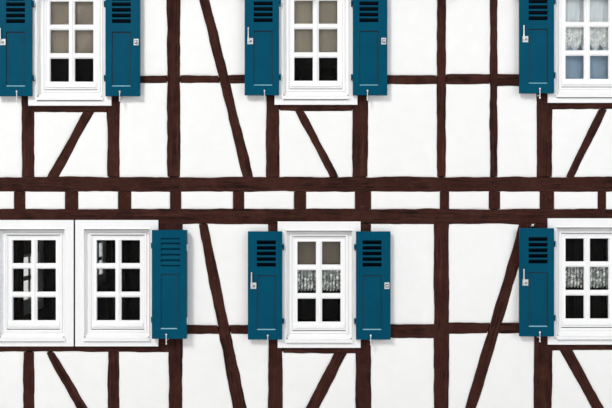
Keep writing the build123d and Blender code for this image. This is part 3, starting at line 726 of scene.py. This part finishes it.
# Level rails: height, half length, and a profile of (aside, out).
RAILS = (
    (1.2915, .374, mm((-6.5, 24.5), (-6.5, 34), (-2, 38), (6.5, 37), (6.5, 24.5))),
    (.248, .285, mm((-10, -33.5), (-10, -20), (0, -15), (10, -16.5), (12, -33.5))),
)
# Painted shade: grey strips in the gaps and under the mouldings, where shadow
# falls: aside, height, half length, half thickness, back and front.
GAP_SHADES = mm(
    (0, 178, 293.5, 2.8, -33, -18.5), (0, 1217, 293.5, 2.8, -33, -18.5), (0, 53.5, 355, 4.5, 24.5, 26.2),
    (-353, 101, 8, 5, 10, 26.8), (353, 101, 8, 5, 10, 26.8), (0, 1280.5, 356.5, 4.5, -10, 22.5),
)


def window_joinery(name, places):
    """Glazing bars, pane beads and the frame's mouldings for some windows, with grey strips of painted shade in their
    gaps.
    """
    wood, gap_shades = Store(), Store()
    for wall, x, foot in places:
        low = foot + pane_foot
        wood.run(wall, x, low + pane_high / 2, 0, pane_high / 2 + .006, meeting_profile)
        for side in (-1, 1):
            for row in (1, 2):
                z = low + row * light_high + (row - .5) * cross_bar
                wood.run(wall, x + side * bar_middle, z, bar_half, 0, bar_profile)
            for row in range(3):
                z = low + (row + .5) * light_high + row * cross_bar
                u = x + side * (meeting_stile + light_wide) / 2
                wood.band(wall, u, z, light_wide / 2, light_high / 2, PANE_BEAD)
        for up, wide, high, profile in BANDS:
            wood.band(wall, x, foot + up, wide, high, profile)
        for up, half, profile in RAILS:
            wood.run(wall, x, foot + up, half, 0, profile)
        for aside, up, half, thick, back, front in GAP_SHADES:
            section = [(-thick, back), (-thick, front), (thick, front), (thick, back)]
            gap_shades.run(wall, x + aside, foot + up, half, 0, section)
    gap_shades.piece(f"{name}_gaps", gap_shade, "house", "white_paint")
    wood.piece(name, brightened_sash_paint, "house", "white_paint")


window_joinery("front_window_joinery", front_windows)
window_joinery("other_window_joinery", [w for w in windows if w[0] != "front"])

# %% [markdown]
# ## Blinds and lace
# Behind the upper panes hangs a short linen blind, and behind the middle
# panes of some windows a strip of lace with a scalloped edge. Cloth on a rod
# is gathered: the cut is wider than the window and falls in folds. A grid of
# points with a wave in its depth gives those folds, and the wave deepens
# towards the free edge. The lace's alpha makes the holes of its mesh.

# %% Cloth behind the panes
def hung_cloth(name, wall, x, top, size, waves, behind, material, scallop, grid):
    """A strip of cloth on a rod, waved into folds, with its flat size."""
    (wide, high), (folds, depth), (columns, rows) = size, waves, grid
    points, uv = [], []
    phase = 1.7 * x
    for row in range(rows + 1):
        down = row / rows
        for column in range(columns + 1):
            s = column / columns
            wave = 2 * math.pi * folds * s
            bend = math.sin(wave + phase) + .35 * math.sin(1.9 * wave + 2.1 * phase + 2.0 * down)
            away = depth * bend * (.55 + .45 * down)
            drop = high * down + scallop[0] * abs(math.sin(math.pi * scallop[1] * s)) * down
            points.append(wall_point(wall, x - wide / 2 + wide * s, -behind + away, top - drop))
            uv.append((s, 1 - down))
    stride = columns + 1
    corners = [row * stride + column for row in range(rows) for column in range(columns)]
    piece = new_object(name, points, [(a, a + 1, a + stride + 1, a + stride) for a in corners], material)
    piece.data.shade_smooth()
    map_texture(piece, "cloth", uv)
    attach(piece, "house")
    flat_wide = sum((points[i + 1] - points[i]).length for i in range(columns))
    flat_high = sum((points[(i + 1) * stride] - points[i * stride]).length for i in range(rows))
    return piece, flat_wide, flat_high


rod_up, cloth_wide, upper_storey = 1.178, .56, 3.0
PLAIN = (0.0, 1)
for number, (wall, x, foot) in enumerate(windows):
    front, upper = wall == "front", foot > upper_storey
    if front and not upper and not -1.0 < x < 1.0:
        continue
    # Behind the upper right panes a slate-blue blind stands for the sky reflected in them: a painted reflection.
    if front and upper and x > 1.0:
        cloths = [("net", .51, (9, .005), .098, net_cloth, (.075, 5)),
                  ("blind", .90, (3, .001), .108, sky_reflection_cloth, PLAIN)]
    else:
        high = .605 if front and upper else .29
        cloths = [("blind", high, (5, .0018), .079, faded_linen if upper else blind_linen, PLAIN)]
    for kind, high, waves, behind, cloth, scallop in cloths:
        name, size = f"{kind}_{wall}_{number}", (cloth_wide, high)
        blind, wide, long = hung_cloth(name, wall, x, foot + rod_up, size, waves, behind, cloth, scallop, (112, 6))
for number, (low, high) in enumerate(islands("lace_curtains")):
    middle = (low + high) / 2
    cloth, lift, scallop = (bright_lace, .105, (.075, 5)) if high.z > upper_storey else (lace, .042, (.022, 14))
    size = (high.x - low.x, high.z - low.z - lift)
    behind = front_reach + middle.y + .006
    drape, wide, long = hung_cloth(
        f"lace_curtain_{number}", "front", middle.x, high.z, size, (11, .006), behind, cloth, scallop, (220, 24))
    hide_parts("lace_curtains")
    print(drape.name, "flat", round(wide, 3), "by", round(long, 3), "m")

# %% [markdown]
# ## Shutter fittings
# The leaves come from the frame with their louvres and sunk panels. What is
# missing is small: a ledge under each panel, pale as a painted highlight, a
# near-black line over the panel and down its sides as painted shadow, black
# gauze behind the louvres as painted shade in the slots, the slats' backs, the
# locking lever or its keep, and the catch that holds the open leaf. Everything
# on a leaf rides with that leaf, and the catches stay on the wall.

# %% Places of the leaves
hinge_axis, leaf_middle_up = .391, .6875
leaf_face, folded_face = .065, .101
leaves = []
for node in sorted(house_nodes):
    if "shutter" not in node or node == "shutter_pintles":
        continue
    body = node if node.startswith("shutter_") else None
    face = folded_face if node == "folding_shutters" else leaf_face
    for low, high in islands(node):
        wall, across, middle = place_on_wall(low, high, .05)
        near = min(
            (w for w in windows if w[0] == wall),
            key=lambda w: abs(w[1] - across) + abs(w[2] + leaf_middle_up - middle.z))
        side = 1 if across > near[1] else -1
        leaves.append((body, wall, side, near[1] + side * hinge_axis, low.z, face))
print(len(leaves), "leaves,", sum(1 for leaf in leaves if leaf[0]), "of them swing")

# %% Tables of the small work
# Plates in millimetres: kind, across from the hinge, up from the foot, half
# width, half height, back and front from the leaf's face, chamfer.
# The dark plates here are painted shadow: a line where the top rail shades the sunk panel, and lines down its sides.
PANEL_PLATES = (
    ("joints", 186, 695.5, 104, 5.5, -10, -7.8, .4),
    ("joints", 85, 403, 3, 298, -10, -8, .4), ("joints", 108, 403, 1.2, 268, -10, -8.2, .3),
    ("joints", 287, 403, 3, 298, -10, -8, .4), ("joints", 264, 403, 1.2, 268, -10, -8.2, .3),
)
LOUVRE_PLATES = (
    # The black gauze behind the louvres is painted shade: it makes the slots read near black.
    ("shade_gauze", 186, 939.5, 110, 158.5, -32.5, -30.1, .5),
    *(("slat_backs", 186, 748 + 61 * slat, 103, 10.5, -34.2, -32.4, .5) for slat in range(1, 6)),
)
# The small near-black plates in the lock and the keep are painted shade of a recess.
LOCK_PLATES = (
    ("lock", 326, 588, 31, 34, .2, 6, 3), ("lock", 326, 588, 18, 21, 5, 13, 4),
    ("joints", 320, 585, 10.5, 11.5, 12, 13.8, 1), ("lock", 320, 587, 4.5, 5.5, 13, 16.5, 1),
)
KEEP_PLATES = (("lock", 347.5, 588, 26.5, 36, .2, 6, 3), ("joints", 347.5, 588, 16.5, 19, 5, 7.2, 1))
LEDGE = mm((-5.5, -10), (5.5, -10), (5.5, -.6), (2, -1.2), (-5.5, -6))
# Turned pieces: across, out, up, way, sides, then a profile of (along, radius).
LOCK_TURNED = (
    (.346, .016, .576, "up", 10,
     mm((0, 4), (4, 9), (20, 9), (50, 7.2), (110, 6.2), (140, 5.5), (150, 7.5), (156, 7.5), (162, 3))),
    (.346, .002, .588, "out", 12, mm((0, 13), (16, 11), (24, 9), (26, 4))),
)
KEEP_TURNED = (
    (.3475, .004, .588, "out", 12, mm((0, 14), (6, 12), (12, 7), (18, 9), (23, 10), (27, 6), (28, 2))),
    (.3375, .012, .558, "right", 8, mm((0, 3), (1, 5), (19, 5), (20, 3))),
)
KNUCKLES = mm((0, 4), (2, 7.5), (24, 7.5), (25.5, 5), (27, 7.5), (50, 7.5), (51.5, 5), (53, 7.5), (74, 7.5), (76, 4))
FOLD_TURNED = [(.392, -.018, up, "up", 10, KNUCKLES) for up in (.157, .952)]
CATCH_PIN = mm((10, 5), (12, 7), (15, 3))
CATCH_STEM = mm(
    (0, 3), (3, 8), (10, 9.5), (17, 8), (21, 5.5), (60, 5), (98, 5), (101, 8.5), (109, 11.8), (117, 8.5), (121, 3))
LEAF_WORK = {
    "joints": (painted_shadow_line, "teal_paint"), "ledges": (highlight_ledge_paint, "teal_paint"), "shade_gauze": (shade_gauze, "pintle_iron"),
    "lock": (nickel, "pintle_iron"), "slat_backs": (teal_paint, "teal_paint"),
}

# %% Grooves, ledges, gauze and locks
def fit_leaf(stores, wall, side, axis, foot, face):
    """Add one leaf's small work to the stores."""
    plates, turned = (), ()
    if wall == "front" and face == leaf_face:
        plates, turned = (LOCK_PLATES, LOCK_TURNED) if side < 0 else (KEEP_PLATES, KEEP_TURNED)
    elif wall == "front":
        turned = FOLD_TURNED
    if face == leaf_face:
        plates = (*LOUVRE_PLATES, *plates)
    for kind, *sizes in (*PANEL_PLATES, *plates):
        across, up, wide, high, back, front, chamfer = mm(sizes)[0]
        stores[kind].plate(wall, axis + side * across, foot + up, wide, high, face + back, face + front, chamfer)
    # The ledge's pale colour is a painted highlight.
    ledge = [(aside, face + out) for aside, out in LEDGE]
    stores["ledges"].run(wall, axis + side * .186, foot + .110, .100, 0, ledge)
    for across, out, up, way, sides, profile in turned:
        stores["lock"].lathe(wall, axis + side * across, face + out, foot + up, way, sides, profile)


def finish_leaf(name, body, stores):
    """Make the pieces of the stores and let them ride on a body."""
    for kind, (material, slot) in LEAF_WORK.items():
        if stores[kind].points:
            stores[kind].piece(f"{name}_{kind}", material, body, slot)


fixed = {kind: Store() for kind in LEAF_WORK}
for name, *place in leaves:
    stores = {kind: Store() for kind in LEAF_WORK} if name else fixed
    fit_leaf(stores, *place)
    if name:
        finish_leaf(name, f"{name}_leaf", stores)
finish_leaf("fixed_leaves", "house", fixed)

# %% Catches
catches = Store()
for _, wall, side, axis, foot, face in leaves:
    across, pivot = axis + side * .17, foot - .017
    pin = mm((0, 9), (3, 9), (4, 5)) + [(face + along, radius) for along, radius in CATCH_PIN]
    catches.lathe(wall, across, .001, pivot, "out", 10, pin)
    catches.lathe(wall, across, face + .0085, pivot - .046, "up", 10, CATCH_STEM)
catches.piece("shutter_catches", nickel, "house", "pintle_iron")

# %% [markdown]
# ## Roof tiles
# A steep roof of this kind carries beaver-tail tiles in double lap: each
# course hides the joints of the one below, and every tile tilts because its
# tail lies on two others. We lay them one by one, *up the slope* and *above
# the rafters*, each in its own tone, since clay never fires twice alike.

# %% Slope coordinates
tiles_low, tiles_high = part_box("front_roof_tiles")
roof_half, ridge_line = tiles_high[0], tiles_high[2]
cover = .070
rise, reach = math.sin(pitch), math.cos(pitch)
slope_start = Vector((0, tiles_low[1] + cover * rise, ridge_line + tiles_low[1] * math.tan(pitch) - cover * reach))
slope_length = -slope_start.y / reach
print("slope", round(slope_length, 3), "m long, eaves at", [round(v, 3) for v in slope_start])


def slope_point(side, across, up, above):
    """A point on the front (-1) or rear (1) slope."""
    y = slope_start.y + up * reach - above * rise
    return Vector((across, -side * y, slope_start.z + up * rise + above * reach))


# %% Tiles
tile_long, tile_thick, gauge = .38, .014, .15
tile_wide = 2 * roof_half / 48
tail_rise, tail_round = .066, .045
slack = .001
TAIL = [(-math.cos(turn), tail_round * (1 - math.sin(turn))) for turn in (math.pi * s for s in (0, .2, .5, .8, 1))]
dice = random.Random(47)


def lay_tiles(name, node, side):
    """Lay one slope in courses and replace the plain slab."""
    tiles, tones = Store(), []
    course, up = 0, .004
    while up < slope_length - .03:
        left = -roof_half - (tile_wide / 2 if course % 2 else 0.0)
        while left < roof_half - .01:
            a, b = max(left + slack, -roof_half), min(left + tile_wide - slack, roof_half)
            left += tile_wide
            if b - a < .03:
                continue
            tail = up + dice.uniform(-.003, .003)
            head = min(tile_long, slope_length - tail - .002)
            lift = tail_rise + dice.uniform(-.0015, .0025)
            outline = [(b, head), (a, head)] + [((a + b) / 2 + (b - a) / 2 * u, s) for u, s in TAIL]
            points = [
                slope_point(side, x, tail + s, lift - tile_thick * s / gauge - drop)
                for drop in (0.0, tile_thick) for x, s in outline
            ]
            tiles.solid(points, tube(2, len(outline)))
            tones += [min(1.0, max(0.0, dice.gauss(.55, .24)))] * (2 + len(outline))
        course += 1
        up += gauge
    give_tones(tiles.piece(name, clay_tile, "house", "roof_tile", node), tones)


lay_tiles("front_laid_tiles", "front_roof_tiles", -1)
lay_tiles("rear_laid_tiles", "rear_roof_tiles", 1)

# %% Battens
battens = Store()
batten_half, batten_wide = roof_half - .04, .04
for side in (-1, 1):
    up = .04
    while up < slope_length - .04:
        section = [(up, .0005), (up + batten_wide, .0005), (up + batten_wide, .014), (up, .014)]
        battens.solid([slope_point(side, x, s, h) for x in (-batten_half, batten_half) for s, h in section], tube(2, 4))
        up += gauge
battens.piece("roof_battens", rafter_stain, "house", "oiled_timber")

# %% Ridge tiles
ridge_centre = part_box("ridge_tiles")[1][2] - .143
caps = Store()
cap_count, turns = 23, 12
cap_step, cap_lap = 2 * roof_half / cap_count, .035
ring = 2 * (turns + 1)
arc = [math.pi * (.02 + .96 * i / turns) for i in range(turns + 1)]
SECTION = [(.140, turn) for turn in arc] + [(.126, turn) for turn in reversed(arc)]
foot_end = [(i, i + 1, ring - 2 - i, ring - 1 - i) for i in range(turns)]
head_end = [tuple(2 * ring + i for i in reversed(face)) for face in foot_end]
for number in range(cap_count):
    x0 = -roof_half + number * cap_step
    x1 = min(x0 + cap_step + cap_lap, roof_half)
    points = [
        Vector((x, (radius + grow) * math.cos(turn), ridge_centre + (radius + grow) * math.sin(turn)))
        for x, grow in ((x0, 0.0), (x0 + .03, 0.0), (x1, -.013)) for radius, turn in SECTION
    ]
    caps.solid(points, between(0, ring, ring) + between(ring, 2 * ring, ring) + foot_end + head_end)
caps.piece("ridge_caps", clay_tile, "house", "roof_tile", "ridge_tiles")

# %% [markdown]
# ## Plinth, steps and door
# The frame's slab stays as the mortar bed, and sandstone blocks of uneven
# length stand a little proud of it, with arrises as uneven as the timbers'.
# The door on the far side gets planks, straps and a latch.

# %% Plinth stones
plinth_x, plinth_y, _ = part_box("stone_plinth")[1]
corner_lap = .009
STONE_ROWS = ((.004, .196), (.207, .396))
STONE_RINGS = mm((0, -20), (0, 1), (3, 6), (10, 9.5), (30, 10.5))
stones, stone_tones = Store(), []
stone_dice = random.Random(8)
for outward, _ in WALLS.values():
    reach_out, half = (plinth_y, plinth_x + corner_lap) if outward.y else (plinth_x, plinth_y)
    right = UP.cross(outward)
    for low, high in STONE_ROWS:
        across = -half
        while across < half - .01:
            wide = stone_dice.uniform(.34, .72)
            end = half if half - across - wide < .3 else across + wide
            a, b = across + .005, end - .005
            corners = [right * u + outward * reach_out + UP * z for u, z in ((a, low), (b, low), (b, high), (a, high))]
            points, faces = ringed(corners, outward, STONE_RINGS, .06, .005)
            stones.solid(points, faces)
            stone_tones += [stone_dice.random()] * len(faces)
            across = end
give_tones(stones.piece("plinth_blocks", plinth_stone, "house", "plinth_stone"), stone_tones)
paint_node("stone_plinth", mortar)
paint_node("door_steps", plinth_stone, .012, 3)

# %% Rear door
door_low, door_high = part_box("rear_door")
foot = door_low[2]
door_face = door_high[1] - WALLS["rear"][1]
door_middle, door_half = -(door_low[0] + door_high[0]) / 2, (door_high[0] - door_low[0]) / 2
plank_half, plank_high = door_half / 5, (door_high[2] - foot) / 2
planks, straps = Store(), Store()
for number in range(5):
    across = door_middle - door_half + (2 * number + 1) * plank_half
    planks.plate("rear", across, foot + plank_high, plank_half - .001, plank_high - .002,
                 door_face - .003, door_face + .010, .005)
STRAP_END, STRAP_EYE, NAIL, SPINDLE, LATCH = (
    mm((0, 34), (2, 32), (2.5, 10)), mm((0, 8), (4, 11), (86, 11), (90, 8)), mm((0, 9), (3, 7.5), (5, 3)),
    mm((0, 12), (45, 9), (50, 12), (56, 12)), mm((-8, 6), (-4, 9), (50, 8), (105, 6.5), (112, 9), (118, 6)),
)
ironwork = [(.385, .010, 1.02, "out", 12, SPINDLE), (.385, .060, 1.02, "left", 12, LATCH)]
for up in (.28, 1.66):
    straps.plate("rear", door_middle - .13, foot + up, .33, .022, door_face + .009, door_face + .014)
    ironwork += [(.21, .012, up - .0005, "out", 16, STRAP_END), (-.463, .016, up - .045, "up", 12, STRAP_EYE)]
    ironwork += [(.16 * nail - .38, .013, up, "out", 8, NAIL) for nail in range(4)]
straps.plate("rear", door_middle + .385, foot + .98, .022, .11, door_face + .009, door_face + .014)
for across, out, up, *rest in ironwork:
    straps.lathe("rear", door_middle + across, door_face + out, foot + up, *rest)
planks.piece("door_planks", door_paint, "house", "oiled_timber")
straps.piece("door_ironwork", black_iron, "house", "pintle_iron")

# %% [markdown]
# ## Finishes for the frame's own nodes
# Every node that stays in sight keeps its shape from the frame and gets a
# procedural finish. A small bevel rounds the arrises, so that they catch a
# thin line of light, as planed and painted wood does.

# %% Node finishes
FINISHES = (
    ("window_casings", white_paint, .002), ("window_frames", brightened_sash_paint, .002),
    ("window_sashes", brightened_sash_paint, .002), ("window_glass", pane_glass, 0.0), ("pintles", black_iron, 0.0),
    ("shutter", teal_paint, .0015), ("rafters", rafter_stain, .004), ("barge_boards", rafter_stain, .004),
    ("attic_joists", joist_stain, 0.0), ("_floor", floor_oak, 0.0), ("rear_door_frame", post_stain, .003),
    ("rear_door", door_paint, 0.0),
)
finished = 0
for name in house_nodes:
    for part, material, bevel in FINISHES:
        if part in name:
            paint_node(name, material, bevel)
            finished += 1
            break
print(finished, "nodes finished")

# %% [markdown]
# ## Light, floor and camera
# A pale floor and soft lamps show the house at a plain level. The camera
# stands where the photographer stood: straight in front of the wall and near
# enough that only part of the front fills the frame.

# %% Camera
camera_distance, width_at_wall = 7.6, 6.732
camera_data = bpy.data.cameras.new("camera")
camera_data.sensor_width = 36.0
camera_data.lens = camera_data.sensor_width * camera_distance / width_at_wall
camera_data.clip_end = 200.0
camera = bpy.data.objects.new("camera", camera_data)
camera.location = (-.264, -front_reach - camera_distance, 2.93)
camera.rotation_euler = (math.radians(90), 0, 0)
bpy.context.scene.collection.objects.link(camera)
bpy.context.scene.camera = camera

# %% Lamps and world
def lamp(name, location, aim_up, size, power, colour=(1, 1, 1)):
    """A soft square lamp that looks at a height over the middle."""
    data = bpy.data.lights.new(name, "AREA")
    data.size, data.energy, data.color = size, power, colour
    piece = bpy.data.objects.new(name, data)
    piece.location = location
    piece.rotation_euler = (UP * aim_up - Vector(location)).to_track_quat("-Z", "Y").to_euler()
    bpy.context.scene.collection.objects.link(piece)


lamp("key lamp", (-11.5, -19.0, 19.0), 3.5, 5.3, 4030, (1.0, .985, .96))
lamp("fill lamp", (12.0, -13.0, 8.0), 3.5, 9.0, 700, (.95, .975, 1.0))
lamp("back lamp", (4.0, 16.0, 12.0), 4.0, 9.0, 1300)
lamp("left lamp", (-17.0, 2.0, 9.0), 4.0, 8.0, 800)


def seen_directly(tree):
    """1 for rays from the camera, in a reflection or through glass, else 0."""
    path = tree.add("LightPath").outputs
    seen = tree.calc("MAXIMUM", path["Is Camera Ray"], path["Is Glossy Ray"])
    return tree.calc("MAXIMUM", seen, path["Is Transmission Ray"])


def fade_to(tree, factor, first, second, end):
    """Mix two shaders and send the result to the end node's surface."""
    mix = tree.add("MixShader")
    for socket, value in zip(mix.inputs, (factor, first.outputs[0], second.outputs[0])):
        tree.put(socket, value)
    tree.feed(tree.nodes[end], Surface=mix.outputs[0])


WHITE = (1.0, 1.0, 1.0, 1.0)
bpy.context.scene.world = world = bpy.data.worlds.new("studio")
world.use_nodes = True
air = Tree(world.node_tree)
sky = air.feed(air.nodes["Background"], Color=(.95, .97, 1.0, 1.0), Strength=.38)
fade_to(air, seen_directly(air), sky, air.add("Background", Color=WHITE, Strength=1.0), "World Output")

# %% Floor
floor_half, fade_start, fade_gain, floor_glow = 60, 5.5, .16, .16
ground = Surface("studio floor", .95, gloss=0.0)
ground.feed(ground.shader, Base_Color=(.88, .88, .88, 1.0))
distance = ground.add("VectorMath", Vector=ground.add("NewGeometry").outputs["Position"])
distance.operation = "LENGTH"
seen = seen_directly(ground)
far = ground.ramp(distance.outputs["Value"], fade_start, fade_gain)
glow = ground.add("Emission", Strength=ground.calc("MULTIPLY", seen, floor_glow))
lit = ground.add("AddShader")
for socket, shader in zip(lit.inputs, (ground.shader, glow)):
    ground.put(socket, shader.outputs[0])
fade_to(ground, ground.calc("MULTIPLY", far, seen), lit, ground.add("Emission"), "Material Output")
corners = [(x * floor_half, y * floor_half, 0) for x, y in ((-1, -1), (1, -1), (1, 1), (-1, 1))]
floor = new_object("studio_floor", corners, [(0, 1, 2, 3)], ground.material)

# %% [markdown]
# ## View
# The plain view transform keeps colours as they were mixed.

# %% Finish
bpy.context.scene.view_settings.view_transform = "Standard"
